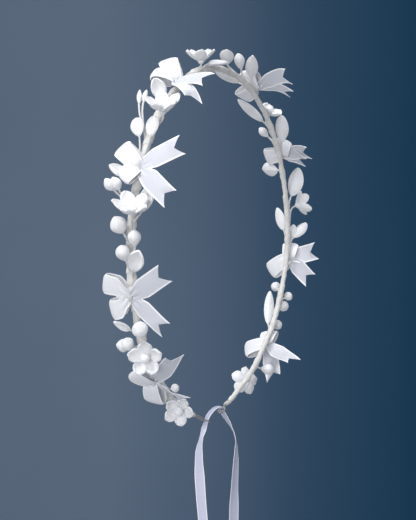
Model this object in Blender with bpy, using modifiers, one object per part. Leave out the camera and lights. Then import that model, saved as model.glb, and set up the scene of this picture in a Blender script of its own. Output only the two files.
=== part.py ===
# Flower crown: a wrapped wire hoop with clay blossoms, buds and leaves on wire stems, small ribbon bows,
# and one tie ribbon through the two end eyelets.
#
# Metres, +Z up. The origin is the top centre of the hoop's wire, which is the point the crown hangs from.
# The hoop stands in the XZ plane and opens at the bottom. +Y is the edge that is uppermost when it is worn.
# A place on the crown is given by its clock angle (0 at the top, left half negative), by how far out it is
# from the hoop's wire, and by how far it is to the +Y side.

import math

import bpy
import bmesh
from mathutils import Matrix, Vector

HOOP_RADIUS = 0.090
WIRE_DIAMETER = 0.0012
TAPE_DIAMETER = 0.0036
TAPE_CLEARANCE = 0.0003
FIT_GAP = 0.0003
HINGE_GAP = 0.0006
EYELET_WIDTH = 0.0036
LEFT_BARE_LENGTH = 0.012
RIGHT_BARE_LENGTH = 0.002
LEFT_END_SLOPE = 22
RIGHT_END_SLOPE = 27
STEM_DIAMETER = 0.0010
TWIST_DIAMETER = 0.0018
BEAD_DIAMETER = 0.0042
PETAL_THICKNESS = 0.0010
LEAF_THICKNESS = 0.0010
BOW_RIBBON_WIDTH = 0.0100
BOW_RIBBON_THICKNESS = 0.0005
BOW_KNOT_DIAMETER = 0.0034
TIE_DIAMETER = EYELET_WIDTH * 2 / 3

# How far the wire runs outside (+) or inside (-) the true circle, at each clock angle of a half.
LEFT_OUTLINE = ((0, 0.0), (60, 0.0), (100, 0.0005), (130, 0.0015), (150, 0.0020), (163, 0.0025))
RIGHT_OUTLINE = ((0, 0.0), (70, 0.0), (95, 0.0010), (120, -0.0015), (140, -0.0035), (160, -0.0030),
                 (174, -0.0005))
TAPE_STEP = 6

CLAY_WHITE = (0.80, 0.80, 0.79)
BEAD_WHITE = (0.84, 0.83, 0.80)
RIBBON_WHITE = (0.78, 0.78, 0.84)
TIE_WHITE = (0.82, 0.82, 0.90)
TAPE_CREAM = (0.82, 0.81, 0.76)
WIRE_GREY = (0.42, 0.42, 0.40)

# Blossom: foot clock, head (clock, out, side), facing (out, side, up the hoop), diameter, cup depth.
BLOSSOMS = {
    "blossom_left_1": (-149, (-145, 0.0085, -0.0070), (0.60, -0.45, 0.65), 0.0145, 0.0030),
    "blossom_left_2": (-124, (-120, 0.0090, -0.0062), (0.85, -0.30, 0.40), 0.0170, 0.0030),
    "blossom_left_3": (-83, (-79, 0.0080, -0.0040), (0.35, -0.10, 0.93), 0.0170, 0.0080),
    "blossom_left_4": (-50, (-47, 0.0070, -0.0068), (0.90, -0.15, 0.40), 0.0175, 0.0065),
    "blossom_left_5": (-14, (-12, 0.0070, -0.0005), (0.98, 0.00, 0.15), 0.0150, 0.0050),
    "blossom_right_1": (49.5, (45.5, 0.0070, 0.0020), (0.80, -0.10, 0.60), 0.0140, 0.0035),
    "blossom_right_2": (84, (81, 0.0070, -0.0040), (0.80, -0.55, 0.15), 0.0145, 0.0050),
    "blossom_right_3": (152, (148.5, 0.0095, 0.0085), (0.55, 0.75, 0.25), 0.0145, 0.0030),
}

# Bud: foot clock, base (clock, out, side), tip (clock, out, side), diameter, belly.
# A belly of 1 is a ball, and more than 1 is a pear that is widest towards its tip.
BUDS = {
    "bud_left_1": (-137, (-135.8, 0.0035, -0.0090), (-134.2, 0.0040, -0.0130), 0.0042, 1.0),
    "bud_left_3": (-114.5, (-113.5, 0.0060, -0.0065), (-109.3, 0.0110, -0.0055), 0.0078, 1.0),
    "bud_left_4": (-94.5, (-92.6, 0.0050, -0.0005), (-88.0, 0.0105, -0.0005), 0.0068, 1.4),
    "bud_left_5": (-90.0, (-88.6, 0.0040, -0.0045), (-83.6, 0.0070, -0.0055), 0.0064, 1.4),
    "bud_left_6": (-86.5, (-84.6, 0.0055, 0.0010), (-80.4, 0.0110, 0.0035), 0.0082, 1.0),
    "bud_right_1": (17.5, (16.5, 0.0040, -0.0010), (11.5, 0.0110, -0.0020), 0.0055, 1.4),
    "bud_right_2": (55.0, (53.5, 0.0020, 0.0045), (50.0, 0.0035, 0.0095), 0.0048, 1.3),
    "bud_right_3": (112.0, (111.3, 0.0030, 0.0045), (109.2, 0.0065, 0.0080), 0.0056, 1.0),
    "bud_right_4": (115.3, (114.3, 0.0046, -0.0012), (112.3, 0.0085, -0.0030), 0.0052, 1.0),
    "bud_right_5": (120.5, (119.5, 0.0030, 0.0000), (115.6, 0.0085, -0.0010), 0.0060, 1.3),
    "bud_right_6": (127.0, (125.7, 0.0046, 0.0002), (123.2, 0.0085, 0.0010), 0.0058, 1.0),
    "bud_right_7": (146.0, (145.0, 0.0055, -0.0005), (142.3, 0.0108, -0.0060), 0.0062, 1.2),
}

# Pairs whose two stems are twisted together at the foot: foot clock, then two buds or two leaves.
BUD_PAIRS = {
    "bud_pair_left_2": (-120.0, (((-118.0, 0.0060, 0.0030), (-116.3, 0.0095, 0.0085), 0.0064, 1.0),
                                 ((-118.3, 0.0060, 0.0020), (-114.9, 0.0095, 0.0045), 0.0066, 1.0))),
    "bud_pair_left_7": (-75.0, (((-72.6, 0.0060, 0.0080), (-70.0, 0.0105, 0.0115), 0.0052, 1.0),
                                ((-72.4, 0.0050, 0.0060), (-69.2, 0.0090, 0.0085), 0.0056, 1.0))),
}
LEAF_PAIRS = {
    "leaf_pair_left_5": (-60.5, (((-57.5, 0.0035, 0.0000), (-49.2, 0.0065, 0.0070), 0.0066, 1.10, 0.0012, 0),
                                 ((-57.0, 0.0035, -0.0035), (-48.6, 0.0070, -0.0030), 0.0068, 1.20, 0.0012, 0))),
    "leaf_pair_right_9": (93.3, (((92.2, 0.0035, -0.0010), (87.8, 0.0050, -0.0020), 0.0044, 1.00, 0.0008, 0),
                                 ((92.2, 0.0035, -0.0025), (87.4, 0.0085, -0.0085), 0.0054, 1.10, 0.0010, 0))),
}

# Leaf: foot clock, base (clock, out, side), tip (clock, out, side), width, point, cup, turn in degrees.
# A point below 1 puts the widest place near the base and sharpens the tip.
LEAVES = {
    "leaf_left_1": (-114.5, (-113.5, 0.0035, 0.0030), (-110.4, 0.0060, 0.0095), 0.0042, 0.75, 0.0006, 0),
    "leaf_left_2": (-97.0, (-95.5, 0.0035, -0.0030), (-89.3, 0.0065, -0.0080), 0.0076, 1.10, 0.0016, 15),
    "leaf_left_3": (-80.0, (-78.0, 0.0022, -0.0062), (-70.5, 0.0040, -0.0100), 0.0066, 1.00, 0.0010, 10),
    "leaf_left_4": (-67.5, (-66.8, 0.0025, 0.0060), (-64.8, 0.0055, 0.0140), 0.0050, 0.75, 0.0006, 0),
    "leaf_left_7": (-41.5, (-40.0, 0.0040, -0.0010), (-37.0, 0.0130, 0.0030), 0.0068, 1.00, 0.0014, 0),
    "leaf_right_1": (9.5, (8.0, 0.0040, 0.0010), (2.5, 0.0100, -0.0030), 0.0068, 1.10, 0.0014, 0),
    "leaf_right_2": (23.5, (22.0, 0.0010, 0.0050), (12.0, 0.0020, 0.0110), 0.0044, 0.95, 0.0006, 40),
    "leaf_right_3": (24.0, (22.0, 0.0040, -0.0025), (12.5, 0.0100, -0.0100), 0.0064, 0.85, 0.0010, 0),
    "leaf_right_4": (47.0, (45.5, 0.0010, 0.0042), (34.5, 0.0020, 0.0135), 0.0050, 0.95, 0.0006, 30),
    "leaf_right_5": (57.0, (55.5, 0.0030, -0.0020), (46.0, 0.0065, -0.0060), 0.0082, 1.00, 0.0014, -10),
    "leaf_right_6": (67.5, (67.3, 0.0030, 0.0040), (67.8, 0.0060, 0.0150), 0.0084, 1.15, 0.0010, 0),
    "leaf_right_7": (78.5, (77.0, 0.0030, -0.0025), (67.8, 0.0080, -0.0070), 0.0100, 0.95, 0.0020, -15),
    "leaf_right_8": (91.0, (89.5, 0.0020, 0.0035), (82.0, 0.0055, 0.0085), 0.0052, 0.90, 0.0008, 10),
    "leaf_right_10": (127.5, (126.0, 0.0020, 0.0045), (112.5, 0.0040, 0.0105), 0.0052, 1.00, 0.0008, 20),
}

# Bow: knot clock, roll of the knot round the wire, then two loops and two tails.
# Loop: heading in degrees (0 to +Y, 90 up the hoop), length, height, lift.
# Tail: heading, length, lift, curl of the width in degrees.
BOWS = {
    "bow_left_1": (-133, 0, ((52, 0.0120, 0.0050, 0.20), (-78, 0.0140, 0.0055, 0.15)),
                   ((138, 0.0270, 0.25, 30), (215, 0.0200, 0.10, 60))),
    "bow_left_2": (-103, -10, ((66, 0.0125, 0.0050, 0.15), (-72, 0.0115, 0.0050, 0.15)),
                   ((148, 0.0250, 0.10, 10), (218, 0.0235, 0.10, 10))),
    "bow_left_3": (-65, -15, ((42, 0.0135, 0.0055, 0.20), (-62, 0.0088, 0.0045, 0.30)),
                   ((154, 0.0250, 0.10, 10), (217, 0.0280, 0.10, 15))),
    "bow_left_4": (-29, 5, ((50, 0.0135, 0.0060, 0.55), (-30, 0.0130, 0.0055, 0.35)),
                   ((186, 0.0235, 0.15, 20), (222, 0.0270, 0.10, 55))),
    "bow_right_1": (30, 5, ((84, 0.0120, 0.0050, 0.45), (-32, 0.0145, 0.0050, 0.00)),
                    ((175, 0.0200, 0.26, 15), (220, 0.0205, 0.24, 18))),
    "bow_right_2": (61.5, 10, ((112, 0.0095, 0.0045, 0.25), (-8, 0.0105, 0.0045, 0.05)),
                    ((178, 0.0175, 0.15, 20), (206, 0.0150, 0.30, 30))),
    "bow_right_3": (99.5, 5, ((94, 0.0090, 0.0045, 0.20), (-38, 0.0150, 0.0050, 0.10)),
                    ((164, 0.0200, 0.10, 10), (224, 0.0215, 0.15, 15))),
    "bow_right_4": (134, 20, ((80, 0.0100, 0.0045, 0.20), (-22, 0.0140, 0.0050, 0.18)),
                    ((201, 0.0230, 0.10, 15), (250, 0.0240, 0.45, 25))),
}

# Route of the tie ribbon, from the centre of the hoop: the run from one eyelet to the other, and each tail.
TIE_RUN = ((0.0043, 0.0, -0.0901), (0.0022, 0.0, -0.0891), (-0.0010, 0.0, -0.0888), (-0.0050, 0.0, -0.0893),
           (-0.0088, 0.0, -0.0906), (-0.0118, 0.0, -0.0924), (-0.0131, 0.0, -0.0941), (-0.0140, 0.0004, -0.0968),
           (-0.0149, 0.0018, -0.1020))
TIE_LEFT_TAIL = ((-0.0149, 0.0018, -0.1020), (-0.0154, 0.0030, -0.1100), (-0.0152, 0.0030, -0.1200),
                 (-0.0146, 0.0023, -0.1350), (-0.0138, 0.0012, -0.1520), (-0.0134, 0.0004, -0.1750),
                 (-0.0132, 0.0000, -0.2100), (-0.0132, 0.0000, -0.2600), (-0.0132, 0.0000, -0.3430))
TIE_RIGHT_BEND = ((0.0049, -0.0001, -0.0914), (0.0059, -0.0009, -0.0938), (0.0072, -0.0030, -0.0980))
TIE_RIGHT_TAIL = ((0.0072, -0.0030, -0.0980), (0.0084, -0.0056, -0.1035), (0.0089, -0.0066, -0.1090),
                  (0.0088, -0.0066, -0.1200), (0.0084, -0.0060, -0.1350), (0.0082, -0.0057, -0.1550),
                  (0.0080, -0.0055, -0.2000), (0.0080, -0.0055, -0.2600), (0.0080, -0.0055, -0.3430))
BEND_SPACING = 0.0018
TAIL_SPACING = 0.0085

CENTRE = Vector((0.0, 0.0, -HOOP_RADIUS))
AXIAL = Vector((0.0, 1.0, 0.0))


def clear_scene():
    for old in list(bpy.data.objects):
        bpy.data.objects.remove(old, do_unlink=True)


def new_collection(name):
    collection = bpy.data.collections.new(name)
    bpy.context.scene.collection.children.link(collection)
    return collection


def principled(name, colour, roughness, metallic=0.0):
    material = bpy.data.materials.new(name)
    material.use_nodes = True
    shader = material.node_tree.nodes["Principled BSDF"]
    shader.inputs["Base Color"].default_value = (*colour, 1.0)
    shader.inputs["Roughness"].default_value = roughness
    shader.inputs["Metallic"].default_value = metallic
    material.diffuse_color = (*colour, 1.0)
    return material


def between(table, at):
    """Smoothly reads a table of (place, value) pairs."""
    if at <= table[0][0]:
        return table[0][1]
    for (low, first), (high, second) in zip(table, table[1:]):
        if at <= high:
            share = (at - low) / (high - low)
            share = share * share * (3.0 - 2.0 * share)
            return first + (second - first) * share
    return table[-1][1]


def wire_at(clock):
    """Centre of the core wire at a clock angle."""
    outline = LEFT_OUTLINE if clock < 0 else RIGHT_OUTLINE
    radius = HOOP_RADIUS + between(outline, abs(clock))
    angle = math.radians(clock)
    return CENTRE + Vector((math.sin(angle), 0.0, math.cos(angle))) * radius


def directions_at(clock):
    """Outward, and up the hoop towards its top, at a clock angle."""
    angle = math.radians(clock)
    outward = Vector((math.sin(angle), 0.0, math.cos(angle)))
    onward = Vector((math.cos(angle), 0.0, -math.sin(angle)))
    return outward, onward if clock < 0 else -onward


def place(clock, out, side):
    outward, _ = directions_at(clock)
    return wire_at(clock) + outward * out + AXIAL * side


def smooth_route(points, spacing):
    """Points along a Catmull-Rom curve through the given points, evenly spaced."""
    points = [Vector(point) for point in points]
    ends = [points[0] * 2 - points[1], *points, points[-1] * 2 - points[-2]]
    fine = []
    for a, b, c, d in zip(ends, ends[1:], ends[2:], ends[3:]):
        for step in range(16):
            t = step / 16
            fine.append(0.5 * (b * 2 + (c - a) * t + (a * 2 - b * 5 + c * 4 - d) * t ** 2
                               + (b * 3 - a - c * 3 + d) * t ** 3))
    fine.append(points[-1])
    travelled = [0.0]
    for a, b in zip(fine, fine[1:]):
        travelled.append(travelled[-1] + (b - a).length)
    count = max(2, round(travelled[-1] / spacing))
    route = []
    place_in = 0
    for index in range(count + 1):
        wanted = travelled[-1] * index / count
        while place_in < len(fine) - 2 and travelled[place_in + 1] < wanted:
            place_in += 1
        share = (wanted - travelled[place_in]) / (travelled[place_in + 1] - travelled[place_in])
        route.append(fine[place_in].lerp(fine[place_in + 1], min(1.0, share)))
    return route


def rod(name, points, diameter, material, collection, half, capped=True):
    """A round rod along points, as a curve with a bevel."""
    curve = bpy.data.curves.new(name, "CURVE")
    curve.dimensions = "3D"
    curve.bevel_depth = diameter / 2
    curve.bevel_resolution = 2
    curve.use_fill_caps = capped
    spline = curve.splines.new("POLY")
    spline.points.add(len(points) - 1)
    for knot, point in zip(spline.points, points):
        knot.co = (*point, 1.0)
    spline.use_smooth = True
    curve.materials.append(material)
    made = bpy.data.objects.new(name, curve)
    collection.objects.link(made)
    made.parent = half
    return made


def as_mesh(curve_object):
    """Replaces a curve object by a mesh object of its evaluated shape."""
    bpy.context.view_layer.update()
    graph = bpy.context.evaluated_depsgraph_get()
    mesh = bpy.data.meshes.new_from_object(curve_object.evaluated_get(graph))
    shape = bmesh.new()
    shape.from_mesh(mesh)
    bmesh.ops.remove_doubles(shape, verts=shape.verts, dist=1e-6)
    bmesh.ops.recalc_face_normals(shape, faces=shape.faces)
    shape.to_mesh(mesh)
    shape.free()
    name, parent = curve_object.name, curve_object.parent
    collection = curve_object.users_collection[0]
    bpy.data.objects.remove(curve_object, do_unlink=True)
    made = bpy.data.objects.new(name, mesh)
    collection.objects.link(made)
    made.parent = parent
    return made


def mesh_object(name, shape, material, collection, half=None):
    mesh = bpy.data.meshes.new(name)
    shape.to_mesh(mesh)
    shape.free()
    mesh.materials.append(material)
    mesh.shade_smooth()
    mesh.set_sharp_from_angle(angle=math.radians(50))
    made = bpy.data.objects.new(name, mesh)
    collection.objects.link(made)
    made.parent = half
    return made


def loft(rings, flat=False):
    """A closed body through rings of as many points each, capped at both ends; a flat one has six a ring."""
    shape = bmesh.new()
    loops = [[shape.verts.new(point) for point in ring] for ring in rings]
    sides = len(rings[0])
    for lower, upper in zip(loops, loops[1:]):
        for k in range(sides):
            m = (k + 1) % sides
            shape.faces.new((lower[k], lower[m], upper[m], upper[k]))
    for end, backwards in ((loops[0], True), (loops[-1], False)):
        caps = ((end[0], end[1], end[4], end[5]), (end[1], end[2], end[3], end[4])) if flat else (end,)
        for cap in caps:
            shape.faces.new(list(reversed(cap)) if backwards else cap)
    if shape.calc_volume(signed=True) < 0:
        bmesh.ops.reverse_faces(shape, faces=shape.faces)
    return shape


def oval_ring(centre, across, normal, half_width, half_height, sides, cup=0.0):
    """A ring of points on an oval, whose edges rise by the cup."""
    ring = []
    for k in range(sides):
        angle = 2 * math.pi * k / sides
        ring.append(centre + across * (half_width * math.cos(angle))
                    + normal * (half_height * math.sin(angle) + cup * math.cos(angle) ** 2))
    return ring


def square_to(direction, hint):
    """The part of hint that is square to direction, at length 1."""
    return (hint - direction * hint.dot(direction)).normalized()


def twist_at(clock):
    """Centre of the twist where the two stems of a pair meet the tape."""
    return place(clock, TAPE_DIAMETER / 2 + FIT_GAP + TWIST_DIAMETER / 2, 0.0)


def stem_points(foot_clock, base, axis, forked=False, steps=3):
    """Points from the tape's surface to the base of a clay piece, arriving along its axis."""
    centre = wire_at(foot_clock)
    _, onward = directions_at(foot_clock)
    control = base - axis * ((base - centre).length * 0.45)
    if forked:
        foot = twist_at(foot_clock)
        foot += (base - foot).normalized() * (TWIST_DIAMETER * 0.2)
    else:
        away = square_to(onward, control - centre)
        foot = centre + away * (TAPE_DIAMETER / 2 + FIT_GAP + STEM_DIAMETER / 2)
    points = []
    for index in range(steps):
        t = index / steps
        points.append(foot * (1 - t) ** 2 + control * (2 * t * (1 - t)) + base * t ** 2)
    return points


def stem_rings(points, base, axis, across, sides):
    """Round rings along a stem, turned so that they meet a head whose axis and across are given."""
    path = [*points, base]
    rings = []
    for here, following in reversed(list(zip(path, path[1:]))):
        heading = (following - here).normalized()
        across = square_to(heading, across)
        rings.append(oval_ring(here, across, heading.cross(across), STEM_DIAMETER / 2, STEM_DIAMETER / 2, sides))
    return rings[::-1]


def bud_shape(foot_clock, base, tip, diameter, belly, forked=False):
    """A ball or pear bud on its stem."""
    base, tip = place(*base), place(*tip)
    axis = (tip - base).normalized()
    across = square_to(axis, AXIAL)
    normal = axis.cross(across)
    rings = stem_rings(stem_points(foot_clock, base, axis, forked), base, axis, across, 8)
    for share in (0.04, 0.18, 0.38, 0.60, 0.80, 0.93, 0.99):
        swell = share ** belly
        radius = max(STEM_DIAMETER / 2, diameter / 2 * math.sqrt(4 * swell * (1 - swell)))
        if share > 0.95:
            radius = diameter * 0.12
        rings.append(oval_ring(base.lerp(tip, share), across, normal, radius, radius, 8))
    return loft(rings)


def leaf_shape(foot_clock, base, tip, width, point, cup, turn, forked=False):
    """A cupped leaf blade on its stem."""
    base, tip = place(*base), place(*tip)
    axis = (tip - base).normalized()
    outward, _ = directions_at(foot_clock)
    normal = square_to(axis, outward)
    normal = Matrix.Rotation(math.radians(turn), 3, axis) @ normal
    across = normal.cross(axis)
    rings = stem_rings(stem_points(foot_clock, base, axis, forked), base, axis, across, 8)
    for share in (0.06, 0.22, 0.42, 0.62, 0.80, 0.92, 1.0):
        spread = math.sin(math.pi * min(1.0, 0.03 + 0.97 * share) ** point)
        half_width = max(STEM_DIAMETER / 2, width / 2 * max(0.0, spread) ** 0.7)
        rise = cup * (half_width * 2 / width) ** 2
        rings.append(oval_ring(base.lerp(tip, share), across, normal, half_width, LEAF_THICKNESS / 2, 8, rise))
    return loft(rings)


def ball(centre, diameter):
    shape = bmesh.new()
    bmesh.ops.create_uvsphere(shape, u_segments=8, v_segments=6, radius=diameter / 2,
                              matrix=Matrix.Translation(centre))
    return shape


def petal_reach(angle):
    """How far the five-petalled rim reaches at an angle, as a share of its radius."""
    return 0.80 + 0.20 * abs(math.cos(2.5 * angle)) ** 0.6


def blossom_shape(foot_clock, head, facing, diameter, depth):
    """Five petals in one cup on a stem, with a flat seat for the bead."""
    head = place(*head)
    outward, onward = directions_at(foot_clock)
    axis = (outward * facing[0] + AXIAL * facing[1] + onward * facing[2]).normalized()
    across = square_to(axis, AXIAL)
    normal = axis.cross(across)
    radius = diameter / 2
    sides = 15
    back = head - axis * (PETAL_THICKNESS * 1.5)
    rings = stem_rings(stem_points(foot_clock, back, axis), back, axis, across, sides)

    def petal_ring(share, height):
        ring = []
        for k in range(sides):
            angle = 2 * math.pi * (k + 0.5) / sides
            reach = radius * share * (1 + (petal_reach(angle) - 1) * share)
            ring.append(head + across * (reach * math.cos(angle)) + normal * (reach * math.sin(angle))
                        + axis * (depth * share ** 1.6 + height))
        return ring

    under = -PETAL_THICKNESS
    rings += [petal_ring(0.30, under), petal_ring(0.68, under), petal_ring(0.98, under)]
    rings += [petal_ring(1.0, 0.0), petal_ring(0.68, 0.0), petal_ring(0.30, 0.0)]
    return loft(rings)


def bead_shape(head, facing, foot_clock, depth):
    """The bead in the middle of a blossom, just clear of its petals."""
    outward, onward = directions_at(foot_clock)
    axis = (outward * facing[0] + AXIAL * facing[1] + onward * facing[2]).normalized()
    centre = place(*head) + axis * (BEAD_DIAMETER / 2 + FIT_GAP + depth * 0.10)
    return ball(centre, BEAD_DIAMETER)


def strip_shape(rows):
    """A strip of bow ribbon as a closed body, from rows of left, middle and right points."""
    rings = []
    for index, (left, middle, right) in enumerate(rows):
        before = rows[max(0, index - 1)][1]
        after = rows[min(len(rows) - 1, index + 1)][1]
        offset = (right - left).cross(after - before).normalized() * (BOW_RIBBON_THICKNESS / 2)
        lower = (left - offset, middle - offset, right - offset)
        upper = (right + offset, middle + offset, left + offset)
        rings.append(lower + upper)
    return loft(rings, flat=True)


def loop_rows(knot, heading, outward, length, height, lift):
    """Rows along one loop of a bow, out from the knot and back to it."""
    along = (heading + outward * lift).normalized()
    across = heading.cross(outward)
    up = across.cross(along) * -1.0
    rows = []
    for index in range(9):
        turn = 2 * math.pi * (0.03 + 0.94 * index / 8)
        centre = knot + along * (length / 2 * (1 - math.cos(turn))) + up * (height / 2 * math.sin(turn))
        swell = 0.30 + 0.70 * abs(math.sin(turn / 2)) ** 0.7
        half = across * (BOW_RIBBON_WIDTH / 2 * swell)
        rows.append((centre - half, centre, centre + half))
    return rows


def tail_rows(knot, heading, outward, length, lift, curl):
    """Rows along one tail of a bow, ending in a swallow-tail notch."""
    across = heading.cross(outward)
    rows = []
    last = 1.0 - BOW_RIBBON_WIDTH * 0.65 / length
    for share in (0.0, last * 0.25, last * 0.60, last, 1.0):
        centre = knot + heading * (length * share) + outward * (length * lift * math.sin(math.pi * share * 0.7))
        turned = Matrix.Rotation(math.radians(curl * share), 3, heading) @ across
        swell = 0.30 + 0.70 * min(1.0, share * 2.6) ** 0.8
        half = turned * (BOW_RIBBON_WIDTH / 2 * swell)
        middle = centre if share < 1.0 else centre - heading * (BOW_RIBBON_WIDTH * 0.45)
        rows.append((centre - half, middle, centre + half))
    return rows


def fused(name, shapes, material, collection, joining, half, crossing=False):
    """One body from shapes that overlap: the first stays, and the others are added to it."""
    made = mesh_object(name, shapes[0], material, collection, half)
    for index, shape in enumerate(shapes[1:]):
        helper = mesh_object(f"{name}_add_{index + 1}", shape, material, joining)
        helper.hide_render = True
        helper.display_type = "WIRE"
        union = made.modifiers.new(f"add_{index + 1}", "BOOLEAN")
        union.operation = "UNION"
        union.use_self = crossing
        union.object = helper
    return made


def bow(name, clock, roll, loops, tails, material, collection, joining, half):
    """A small bow: a knot with two loops and two notched tails."""
    outward, onward = directions_at(clock)
    roll = math.radians(roll)
    away = outward * math.cos(roll) + AXIAL * math.sin(roll)
    knot = wire_at(clock) + away * (TAPE_DIAMETER / 2 + FIT_GAP + BOW_KNOT_DIAMETER / 2)
    shapes = [ball(knot, BOW_KNOT_DIAMETER)]
    for degrees, length, height, lift in loops:
        angle = math.radians(degrees)
        heading = AXIAL * math.cos(angle) + onward * math.sin(angle)
        shapes.append(strip_shape(loop_rows(knot, heading, outward, length, height, lift)))
    for degrees, length, lift, curl in tails:
        angle = math.radians(degrees)
        heading = AXIAL * math.cos(angle) + onward * math.sin(angle)
        shapes.append(strip_shape(tail_rows(knot, heading, outward, length, lift, curl)))
    return fused(name, shapes, material, collection, joining, half, crossing=True)


def half_clocks(outline, sign):
    """Clock angles along one half, from just past the hinge to its end."""
    first = math.degrees(HINGE_GAP / 2 / HOOP_RADIUS)
    last = outline[-1][0]
    count = round(last / TAPE_STEP)
    return [sign * (first + (last - first) * index / count) for index in range(count + 1)]


def eyelet_points(end, along, bare_length):
    """The bare end of the core wire: a straight run, then a round eye in the plane of along and Y."""
    radius = EYELET_WIDTH / 2 + WIRE_DIAMETER / 2
    centre = end + along * (bare_length + radius * 1.25)
    points = [end + along * (bare_length * 0.5), end + along * bare_length]
    for degrees in range(205, 505, 27):
        angle = math.radians(degrees)
        points.append(centre + along * (radius * math.cos(angle)) + AXIAL * (radius * math.sin(angle)))
    return points


def hoop_half(side, sign, outline, bare_length, slope, wire_material, tape_material, collection, half):
    """The core wire of one half with its eyelet, and the tape round it."""
    points = [wire_at(clock) for clock in half_clocks(outline, sign)]
    slope = math.radians(slope)
    along = Vector((-sign * math.cos(slope), 0.0, -math.sin(slope)))
    eyelet = eyelet_points(points[-1], along, bare_length)
    rod(f"core_wire_{side}", points + eyelet, WIRE_DIAMETER, wire_material, collection, half)
    tape = as_mesh(rod(f"tape_wrap_{side}", points, TAPE_DIAMETER, tape_material, collection, half, capped=False))
    wall = tape.modifiers.new("wall", "SOLIDIFY")
    wall.thickness = (TAPE_DIAMETER - WIRE_DIAMETER) / 2 - TAPE_CLEARANCE
    wall.offset = -1.0
    return tape


def tie_route(bend, tail):
    """Closely spaced points through an eyelet, then wider ones down a hanging tail."""
    bend = smooth_route([CENTRE + Vector(point) for point in bend], BEND_SPACING)
    tail = smooth_route([CENTRE + Vector(point) for point in tail], TAIL_SPACING)
    return bend[:-1] + tail


def tie_ribbon(material, collection, left, right):
    """The tie ribbon: the run between the eyelets with the left tail, and the right tail."""
    rod("tie_ribbon_left", tie_route(TIE_RUN, TIE_LEFT_TAIL), TIE_DIAMETER, material, collection, left)
    rod("tie_ribbon_right", tie_route(TIE_RIGHT_BEND, TIE_RIGHT_TAIL), TIE_DIAMETER, material, collection, right)


def main():
    clear_scene()
    crown = new_collection("flower_crown")
    joining = new_collection("joining_shapes")
    joining.hide_render = True
    left = bpy.data.objects.new("left_half", None)
    right = bpy.data.objects.new("right_half", None)
    crown.objects.link(left)
    crown.objects.link(right)

    clay = principled("clay", CLAY_WHITE, 0.75)
    bead = principled("bead", BEAD_WHITE, 0.60)
    ribbon = principled("bow_ribbon", RIBBON_WHITE, 0.45)
    tie = principled("tie_ribbon", TIE_WHITE, 0.40)
    tape = principled("floral_tape", TAPE_CREAM, 0.85)
    wire = principled("bare_wire", WIRE_GREY, 0.40, 0.9)

    hoop_half("left", -1, LEFT_OUTLINE, LEFT_BARE_LENGTH, LEFT_END_SLOPE, wire, tape, crown, left)
    hoop_half("right", 1, RIGHT_OUTLINE, RIGHT_BARE_LENGTH, RIGHT_END_SLOPE, wire, tape, crown, right)
    tie_ribbon(tie, crown, left, right)

    for name, (foot_clock, head, facing, diameter, depth) in BLOSSOMS.items():
        half = left if foot_clock < 0 else right
        shape = blossom_shape(foot_clock, head, facing, diameter, depth)
        mesh_object(f"{name}_petals", shape, clay, crown, half)
        mesh_object(f"{name}_bead", bead_shape(head, facing, foot_clock, depth), bead, crown, half)
    for name, (foot_clock, base, tip, diameter, belly) in BUDS.items():
        mesh_object(name, bud_shape(foot_clock, base, tip, diameter, belly), clay, crown,
                    left if foot_clock < 0 else right)
    for name, (foot_clock, *rest) in LEAVES.items():
        mesh_object(name, leaf_shape(foot_clock, *rest), clay, crown, left if foot_clock < 0 else right)
    for pairs, shape_of in ((BUD_PAIRS, bud_shape), (LEAF_PAIRS, leaf_shape)):
        for name, (foot_clock, pieces) in pairs.items():
            shapes = [ball(twist_at(foot_clock), TWIST_DIAMETER)]
            shapes += [shape_of(foot_clock, *piece, forked=True) for piece in pieces]
            fused(name, shapes, clay, crown, joining, left if foot_clock < 0 else right)
    for name, (clock, roll, loops, tails) in BOWS.items():
        bow(name, clock, roll, loops, tails, ribbon, crown, joining, left if clock < 0 else right)


main()
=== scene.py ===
import random
import bpy
from math import atan2, copysign, cos, degrees, exp, pi, radians, sin, sqrt, tau
from mathutils import Matrix, Vector, noise


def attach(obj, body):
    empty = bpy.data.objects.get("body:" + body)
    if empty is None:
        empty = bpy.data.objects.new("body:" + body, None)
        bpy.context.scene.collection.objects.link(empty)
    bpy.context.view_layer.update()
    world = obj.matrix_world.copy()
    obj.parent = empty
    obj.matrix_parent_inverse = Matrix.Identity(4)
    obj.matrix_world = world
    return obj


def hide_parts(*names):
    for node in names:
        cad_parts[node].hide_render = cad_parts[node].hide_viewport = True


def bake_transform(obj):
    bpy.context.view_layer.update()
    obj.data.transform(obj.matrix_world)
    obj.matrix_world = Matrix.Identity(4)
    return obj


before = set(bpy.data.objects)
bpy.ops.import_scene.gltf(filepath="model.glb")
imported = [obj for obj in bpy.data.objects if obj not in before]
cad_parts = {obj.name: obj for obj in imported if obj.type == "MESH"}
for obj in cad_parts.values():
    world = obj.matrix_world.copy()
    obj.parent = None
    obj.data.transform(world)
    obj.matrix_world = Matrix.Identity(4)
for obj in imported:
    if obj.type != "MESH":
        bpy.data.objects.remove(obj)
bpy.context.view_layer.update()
dice = random.Random(11)

# the hoop as it was bent: radius, and how far each half wanders outside the true circle at each clock angle
hoop = {"radius": 0.09, "wire": 0.0012, "tape": 0.0036,
        "left": ((0, 0), (60, 0), (100, 0.0005), (130, 0.0015), (150, 0.002), (163, 0.0025)),
        "right": ((0, 0), (70, 0), (95, 0.001), (120, -0.0015), (140, -0.0035), (160, -0.003),
                  (174, -0.0005))}
centre = Vector((0, 0, -hoop["radius"]))
toPlusY = Vector((0, 1, 0))


def softStep(table, at):
    if at <= table[0][0]:
        return table[0][1]
    for (low, first), (high, second) in zip(table, table[1:]):
        if at <= high:
            t = (at - low) / (high - low)
            return first + (second - first) * t * t * (3 - 2 * t)
    return table[-1][1]


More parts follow.
